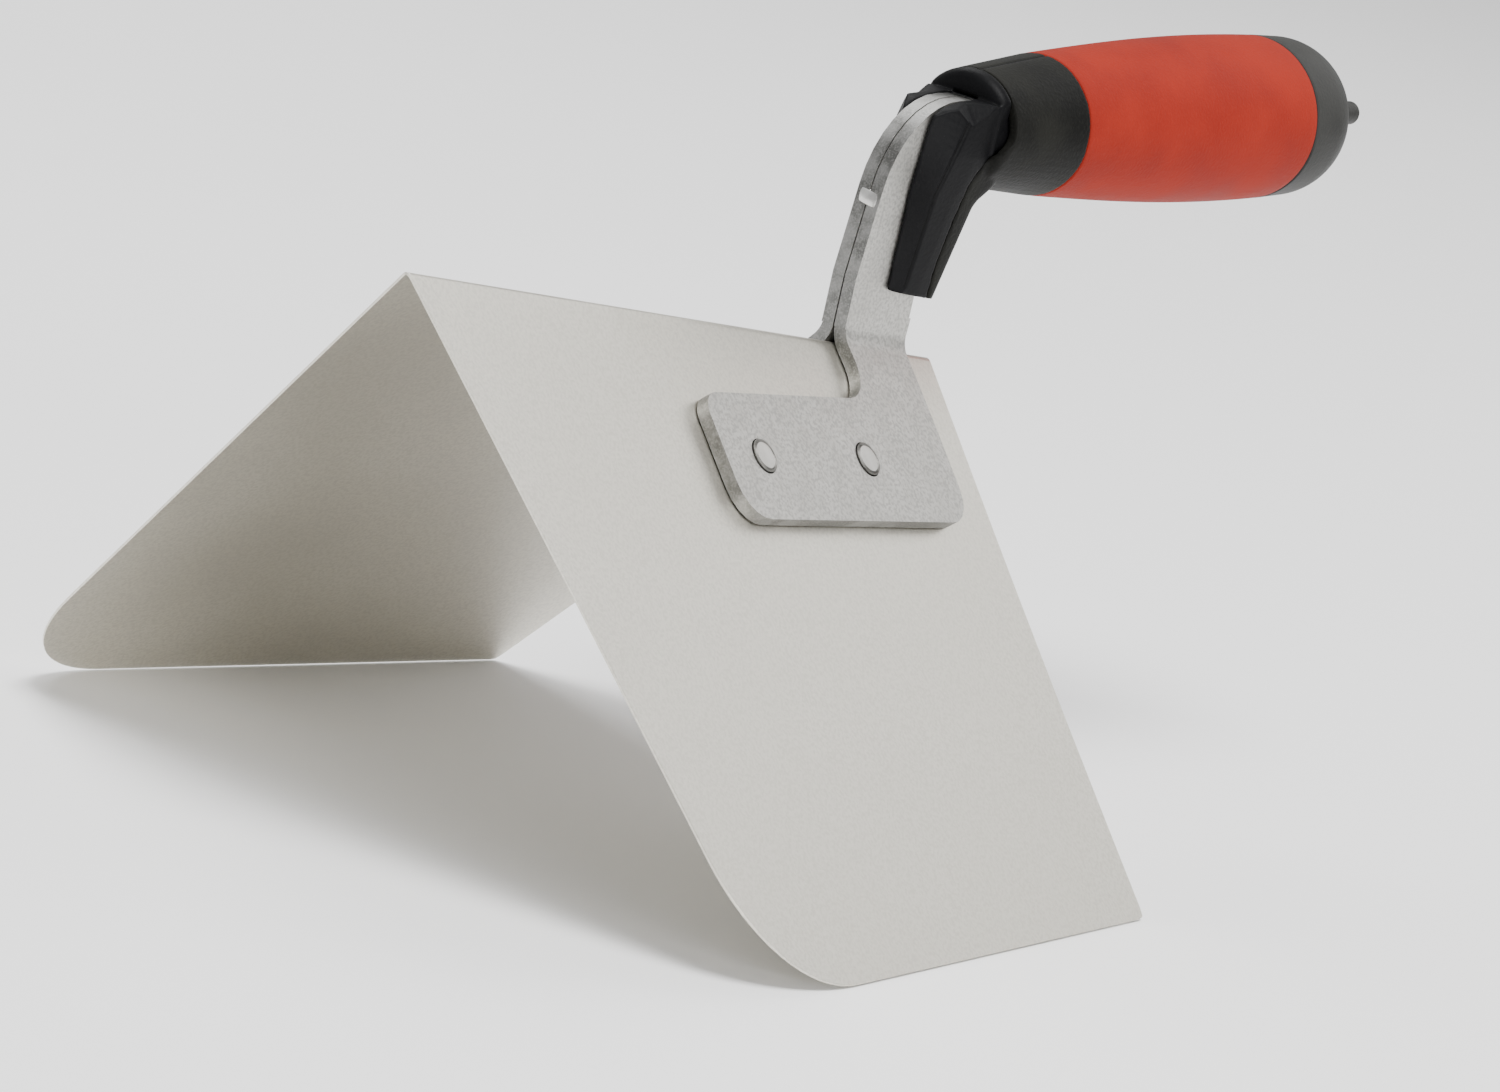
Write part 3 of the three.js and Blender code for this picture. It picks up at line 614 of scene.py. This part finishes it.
def stamped_faces(mesh, sign):
    """Marks a plate's stamped edge faces: its broad faces look across the tool or out of the wing, or
    between the two round the bend, so a face is an edge when it looks along the tool, or outside that
    fan of directions."""
    normals = np.empty(len(mesh.polygons) * 3)
    mesh.polygons.foreach_get("normal", normals)
    tool = stance_return(normals.reshape(-1, 3))
    fan = np.degrees(np.arctan2(tool[:, 2], sign * tool[:, 1])) % 180
    broad = (np.abs(tool[:, 0]) < 0.4) & ((fan < 60) | (fan > 165))
    return ~broad


def plate_piece(side, face, rim, edge):
    """One tang plate: the frame's bent plate with dull stamped edges, darkened partly as painted shade, and a
    Bevel in bright worn steel that is partly a painted rim highlight. The clamp holds its Bevel to under a
    micrometre, because the mesh has edges of a few micrometres, so the plate's edges stay sharp."""
    node = f"tang_plate_{side}"
    mesh = frame_copy(f"plate_{side}", node)
    piece = finish_mesh(f"plate_{side}", mesh, 35.0)
    dress(piece, node, face)
    piece.data.materials.append(rim)
    piece.data.materials.append(edge)
    stamped = stamped_faces(mesh, -1 if side == "right" else 1)
    # Stamped edge faces take index 2, the dark edge colour that is partly painted shade.
    mesh.polygons.foreach_set("material_index", np.where(stamped, 2, 0).astype(np.int32))
    # The Bevel takes index 1, bright worn steel that is partly a painted rim highlight.
    add_bevel(piece, PLATE_EDGE_ROUND, 3, 40.0).material = 1
    return piece


def rivet_piece(side, place, steel, ring_shade):
    """A rivet turned about its own axis: a countersunk head with a ring cut round its middle. It is set by
    the middle of its node's box, which its wider head draws outwards by about 0.4 mm."""
    node = f"foot_rivet_{side}_{place}"
    sign = -1 if side == "right" else 1
    down, out = (stance_turn(axis) for axis in wing_axes(sign))
    middle = box_middle(node)
    length = REST_GAP + PLATE_THICKNESS + SHEET_THICKNESS
    top = middle + out * length / 2
    profile = rounded_path([
        (0.0, -length - RIVET_TAIL, 0),
        (RIVET_SHANK_RADIUS, -length - RIVET_TAIL, 0.08),
        (RIVET_SHANK_RADIUS, -RIVET_HEAD_DEPTH, 0),
        (RIVET_HEAD_RADIUS, -RIVET_HEAD_LAND, 0),
        (RIVET_HEAD_RADIUS, 0.0, 0.15),
        (RING_OUTER, -0.02, 0.05),
        (RING_BOTTOM, -RING_DEPTH, 0.05),
        (RING_INNER, 0.0, 0.08),
        (RIVET_CROWN_RADIUS, RIVET_CROWN, 0),
        (0.0, RIVET_CROWN, 0),
    ], steps=4)
    angle = np.linspace(0, 2 * math.pi, 64, endpoint=False)
    along = stance_turn([1.0, 0.0, 0.0])
    circle = np.cos(angle)[:, None] * along + np.sin(angle)[:, None] * down
    points = top + profile[:, 0][:, None, None] * circle[None] + profile[:, 1][:, None, None] * out
    faces = grid_faces(len(profile), len(angle), wrap_columns=True)
    piece = link_mesh(f"rivet_{side}_{place}", points.reshape(-1, 3) * MM, faces, 40.0)
    dress(piece, node, steel)
    piece.data.materials.append(ring_shade)
    centers = np.empty(len(piece.data.polygons) * 3)
    piece.data.polygons.foreach_get("center", centers)
    offset = centers.reshape(-1, 3) / MM - top
    height = offset @ out
    reach = np.linalg.norm(offset - height[:, None] * out, axis=1)
    # Faces in the ring's groove take index 1, a dark colour painted as shade in the groove.
    in_ring = (reach > RING_INNER) & (height > -0.5)
    piece.data.polygons.foreach_set("material_index", in_ring.astype(np.int32))
    return piece


def weld_piece(material):
    """The ground tack weld across both plates' front edges: a low mound whose height over the edge falls
    as (1 - u^4)(1 - v^2) from its middle, less a sink of the greater of |u| and |v| to the 8th power, u
    across the plates and v up the shank, closed by a flat back inside the plates."""
    samples = 25
    u, v = np.meshgrid(np.linspace(-1, 1, samples), np.linspace(-1, 1, samples), indexing="ij")
    mound = WELD_RISE * (1 - u ** 4) * (1 - v ** 2)
    mound = mound - WELD_SINK * np.maximum(np.abs(u), np.abs(v)) ** 8
    across = WELD_HALF_WIDTH * u * np.sqrt(1 - WELD_ROUNDING * v ** 2)
    up = WELD_HEIGHT + WELD_HALF_HEIGHT * v * np.sqrt(1 - WELD_ROUNDING * u ** 2) + WELD_SKEW * u
    face = np.stack([SHANK_FRONT - mound, across, up], axis=-1)
    back = np.stack([np.full_like(u, SHANK_FRONT + WELD_SINK + WELD_BACK), across, up], axis=-1)
    faces = grid_faces(samples, samples)
    layer = samples * samples
    rim = np.concatenate([
        np.arange(samples),
        np.arange(1, samples) * samples + samples - 1,
        layer - 1 - np.arange(1, samples),
        np.arange(samples - 2, 0, -1) * samples,
    ])
    after = np.roll(rim, -1)
    walls = np.stack([rim, after, after + layer, rim + layer], axis=-1)
    points = from_tool(np.concatenate([face.reshape(-1, 3), back.reshape(-1, 3)]))
    piece = link_mesh("tack_weld", points, np.concatenate([faces, faces + layer, walls]), 50.0)
    piece.data.materials.append(material)
    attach(piece, "root")


# ---------------------------------------------------------------- handle

def grip_profile():
    """The sleeve's outside: a quarter sine from the collar's radius to the full swell, then a slight fall."""
    share = np.linspace(0, 1, 40)
    rise = np.sin(np.pi / 2 * np.minimum(share / SWELL_SHARE, 1))
    past = np.maximum(share - SWELL_SHARE, 0) / (1 - SWELL_SHARE)
    fall = past ** 2 * (GRIP_RADIUS - GRIP_END_RADIUS)
    radius = COLLAR_RADIUS + rise * (GRIP_RADIUS - COLLAR_RADIUS) - fall
    station = BUTT_GAP / 2 + share * (GRIP_LENGTH - BUTT_GAP)
    return station, radius


def edge_round(station, radius, size, facing):
    """A quarter circle of the given size at a sleeve's end: facing is -1 at the front, +1 at the rear."""
    angle = np.linspace(0, np.pi / 2, 6)
    stations = station - facing * size * (1 - np.sin(angle))
    arc = np.stack([stations, radius - size * (1 - np.cos(angle))], axis=-1)
    return arc[::-1] if facing < 0 else arc


def grip_piece(material):
    """The soft sleeve: its swelled profile with rounded rims and a straight bore."""
    station, radius = grip_profile()
    inside = (station > station[0] + GRIP_RIM) & (station < station[-1] - GRIP_RIM)
    body = np.stack([station[inside], radius[inside]], axis=-1)
    front = edge_round(station[0], radius[0], GRIP_RIM, -1)
    rear = edge_round(station[-1], radius[-1], GRIP_RIM, 1)
    bore = np.array([[station[-1], SLEEVE_BORE], [station[0], SLEEVE_BORE]])
    profile = np.concatenate([front, body, rear, bore])
    piece = turned_piece("soft_grip", profile, closed=True, segments=160)
    dress(piece, "grip_sleeve", material)
    return piece


def cap_piece(material):
    """The end cap: a shoulder, then a dome whose radius falls as a cosine as its station rises as a sine."""
    front = GRIP_LENGTH + BUTT_GAP / 2
    shoulder = GRIP_LENGTH + CAP_SHOULDER
    shoulder_radius = GRIP_END_RADIUS - CAP_STEP
    last = math.acos(CAP_FLAT_RADIUS / shoulder_radius)
    angle = np.linspace(0, last, 28)
    stations = shoulder + CAP_DOME * np.sin(angle) / math.sin(last)
    dome = np.stack([stations, shoulder_radius * np.cos(angle)], axis=-1)
    start = edge_round(front, GRIP_END_RADIUS, CAP_RIM, -1)
    hollow = GRIP_LENGTH + CAP_HOLLOW
    bore = STUD_RADIUS + STUD_GAP
    inside = np.array([[CAP_END, bore], [hollow, bore], [hollow, SLEEVE_BORE], [front, SLEEVE_BORE]])
    profile = np.concatenate([start, dome, inside])
    piece = turned_piece("domed_cap", profile, closed=True, segments=144)
    dress(piece, "end_cap", material)
    return piece


def stud_piece(material):
    """The stud: a round peg with a chamfered tip."""
    tip = CAP_END + STUD_PROTRUSION
    profile = rounded_path([
        (CAP_END - STUD_ROOT, 0.0, 0),
        (CAP_END - STUD_ROOT, STUD_RADIUS, 0.2),
        (tip - STUD_CHAMFER, STUD_RADIUS, 0.8),
        (tip, STUD_RADIUS - STUD_TIP_STEP, 0.5),
        (tip, 0.0, 0),
    ], steps=4)
    piece = turned_piece("stud", profile, closed=False, segments=48)
    dress(piece, "end_stud", material)
    return piece


def near_line(points, line):
    """The distance of every point from a polyline, in millimetres: the least over its straight runs."""
    line = np.asarray(line, float)
    best = np.full(len(points), np.inf)
    for start, end in zip(line[:-1], line[1:]):
        run = end - start
        share = np.clip((points - start) @ run / (run @ run), 0, 1)
        best = np.minimum(best, np.linalg.norm(points - start - share[:, None] * run, axis=1))
    return best


def moulded_copy(name, node, grooves, depth):
    """A frame solid cut off behind the grip's front and remeshed to an even skin. The guard's top falls away
    to both sides like a roof, and the skin is relaxed, so that its corners round over as moulded ones do.
    Then the nearest groove sinks the skin by depth times exp(-(distance/width)^2)."""
    mesh = frame_copy(name, node)
    work = bmesh.new()
    work.from_mesh(mesh)
    cut = Vector(from_handle(CROP_STATION, 0.0, 0.0).tolist())
    facing = Vector(HANDLE_DIRECTION.tolist())
    parts = work.verts[:] + work.edges[:] + work.faces[:]
    bmesh.ops.bisect_plane(work, geom=parts, plane_co=cut, plane_no=facing, clear_outer=True)
    bmesh.ops.holes_fill(work, edges=[edge for edge in work.edges if edge.is_boundary])
    work.to_mesh(mesh)
    work.free()
    piece = finish_mesh(name, mesh, 35.0)
    remesh = piece.modifiers.new("skin", "REMESH")
    remesh.mode = "VOXEL"
    remesh.voxel_size = SKIN_VOXEL * MM
    apply_modifiers(piece)
    place = np.empty(len(piece.data.vertices) * 3)
    piece.data.vertices.foreach_get("co", place)
    tool = to_tool(place.reshape(-1, 3))
    roof = ROOF_TOP - ROOF_FALL * np.maximum(np.abs(tool[:, 1]) - ROOF_HALF_WIDTH, 0)
    roof = roof + ROOF_RETURN * np.maximum(tool[:, 0] - ROOF_BACK, 0)
    tool[:, 2] = np.minimum(tool[:, 2], roof)
    piece.data.vertices.foreach_set("co", from_tool(tool).ravel())
    relax = piece.modifiers.new("relax", "SMOOTH")
    relax.factor = 0.5
    relax.iterations = SKIN_PASSES
    apply_modifiers(piece)
    skin = piece.data
    place, normal = np.empty(len(skin.vertices) * 3), np.empty(len(skin.vertices) * 3)
    skin.vertices.foreach_get("co", place)
    skin.vertices.foreach_get("normal", normal)
    place, normal = place.reshape(-1, 3), normal.reshape(-1, 3)
    tool = to_tool(place)
    away = np.minimum.reduce([near_line(tool, line) for line in grooves])
    sink = np.exp(-(away / GROOVE_WIDTH) ** 2)
    skin.vertices.foreach_set("co", (place - normal * (sink * depth * MM)[:, None]).ravel())
    # The sink is kept for the shader, which paints shade into the grooves with it.
    skin.attributes.new("groove", "FLOAT", "POINT").data.foreach_set("value", sink.astype(np.float32))
    skin.shade_smooth()
    skin.update()
    return piece


def mirrored(line):
    """A line and its mirror image across the middle plane."""
    flipped = np.array(line, float)
    flipped[:, 1] *= -1
    return [np.array(line, float), flipped]


def core_piece(material):
    """The hard core's nose and guard, with moulded corners, the nose's slit and its seams."""
    grooves = [NOSE_SLIT, NOSE_SEAM] + mirrored(SIDE_SEAM)
    piece = moulded_copy("core_moulding", "handle_core", grooves, CORE_GROOVE_DEPTH)
    dress(piece, "handle_core", material)
    return piece


def collar_piece(material):
    """The rubber collar, with moulded corners and the seam along its crest."""
    piece = moulded_copy("collar_moulding", "guard_collar", [NOSE_SEAM], COLLAR_GROOVE_DEPTH)
    dress(piece, "guard_collar", material)
    return piece


# ---------------------------------------------------------------- stage

CAMERA_PLACE = (-1026.5, -733.9, 114.4)
CAMERA_YAW = math.radians(32.495)
CAMERA_PITCH = math.radians(-6.432)
CAMERA_ROLL = math.radians(16.833)
CAMERA_LENS = 183.5


# Each light's name, place, target, size and power.
LIGHTS = (
    ("key", (-0.35, -0.45, 1.6), (0, 0, 0.05), 0.7, 41.0),
    ("front", (-0.6, -1.45, 0.3), (-0.08, 0, 0.05), 0.45, 13.0),
    ("back", (1.15, -0.2, 0.85), (0, 0, 0.05), 1.0, 4.5),
    ("rim", (0.5, 0.9, 1.3), (0.1, 0, 0.1), 0.8, 10.0),
)
SKY_STRENGTH = 0.58
FLOOR_HALF_SIZE = 6.0
FLOOR_LEVEL = -0.0002


def tool_direction(vector):
    """A direction of the tool turned into the frame."""
    return Vector(stance_turn(vector).tolist())


def add_camera():
    """The camera: its aim is given by yaw, pitch and roll in the tool's own axes."""
    forward = np.array([math.cos(CAMERA_PITCH) * math.cos(CAMERA_YAW),
                        math.cos(CAMERA_PITCH) * math.sin(CAMERA_YAW), math.sin(CAMERA_PITCH)])
    level = np.cross(forward, [0, 0, 1])
    level /= np.linalg.norm(level)
    upright = np.cross(level, forward)
    right = level * math.cos(CAMERA_ROLL) + upright * math.sin(CAMERA_ROLL)
    up = np.cross(right, forward)
    turn = Matrix((tool_direction(right), tool_direction(up), tool_direction(-forward))).transposed()
    camera = bpy.data.objects.new("camera", bpy.data.cameras.new("camera"))
    camera.data.lens = CAMERA_LENS
    camera.data.sensor_width = 36.0
    camera.data.clip_start = 0.01
    camera.matrix_world = Matrix.Translation(Vector(from_tool(CAMERA_PLACE).tolist())) @ turn.to_4x4()
    bpy.context.scene.collection.objects.link(camera)
    bpy.context.scene.camera = camera


def add_floor():
    """A plain pale floor, just below the wings' edges."""
    size, level = FLOOR_HALF_SIZE, FLOOR_LEVEL
    corners = [(-size, -size, level), (size, -size, level), (size, size, level), (-size, size, level)]
    floor = link_mesh("floor", corners, [(0, 1, 2, 3)])
    material, build, shader, place = new_material("pale_floor")
    shade = build.mix(build.noise(place, 3.0, 3.0, 0.55), (0.93, 0.93, 0.93, 1), (0.95, 0.95, 0.95, 1))
    build.link(shade, shader.inputs["Base Color"])
    shader.inputs["Roughness"].default_value = 0.9
    shader.inputs["Specular IOR Level"].default_value = 0.2
    floor.data.materials.append(material)


def add_light(name, place, target, size, power):
    """A square soft box aimed at a point."""
    light = bpy.data.objects.new(name, bpy.data.lights.new(name, "AREA"))
    light.data.size = size
    light.data.energy = power
    light.location = place
    light.rotation_euler = (Vector(target) - Vector(place)).to_track_quat("-Z", "Y").to_euler()
    bpy.context.scene.collection.objects.link(light)


def add_world():
    """An even white studio sky."""
    world = bpy.data.worlds.new("studio")
    world.use_nodes = True
    background = world.node_tree.nodes["Background"]
    background.inputs["Color"].default_value = (1, 1, 1, 1)
    background.inputs["Strength"].default_value = SKY_STRENGTH
    bpy.context.scene.world = world


# ---------------------------------------------------------------- making

add_camera()
add_floor()
add_world()
for light_setting in LIGHTS:
    add_light(*light_setting)

STAINLESS = stainless_material()
PLATE = plate_material()
WORN_AND_HIGHLIGHT = worn_edge_and_highlight_material()
STAMPED_EDGE_AND_SHADE = stamped_edge_and_shade_material()
RING_PAINTED_SHADE = ring_painted_shade_material()
RIVET = rivet_material()
CORE_BLACK = moulded_material("core_black", (0.003, 0.003, 0.0035, 1), (0.006, 0.006, 0.0065, 1),
                              roughness=0.45, grain_scale=1400.0, grain=0.25, specular=0.06, grooved=True)
COLLAR_BLACK = moulded_material("collar_black", (0.004, 0.004, 0.0036, 1), (0.012, 0.012, 0.010, 1),
                                roughness=0.55, grain_scale=1600.0, grain=0.45, specular=0.08, grooved=True)
GRIP_RED = moulded_material("grip_red", (0.205, 0.0155, 0.0092, 1), (0.256, 0.021, 0.0118, 1),
                            roughness=0.6, grain_scale=1700.0, grain=0.5, specular=0.05)
CAP_GREY = moulded_material("cap_grey", (0.014, 0.014, 0.013, 1), (0.028, 0.028, 0.026, 1),
                            roughness=0.5, grain_scale=1500.0, grain=0.35, specular=0.15)

dress(blade_piece(), "blade", STAINLESS)
for side_name in ("right", "left"):
    plate_piece(side_name, PLATE, WORN_AND_HIGHLIGHT, STAMPED_EDGE_AND_SHADE)
    for place_name in ("front", "rear"):
        rivet_piece(side_name, place_name, RIVET, RING_PAINTED_SHADE)
# The tack weld takes the bright worn steel, whose light tone is partly a painted highlight.
weld_piece(WORN_AND_HIGHLIGHT)
core_piece(CORE_BLACK)
collar_piece(COLLAR_BLACK)
grip_piece(GRIP_RED)
cap_piece(CAP_GREY)
stud_piece(CAP_GREY)
for pin in ("tang_pin_1", "tang_pin_2"):
    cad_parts[pin].data.materials.clear()
    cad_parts[pin].data.materials.append(RIVET)
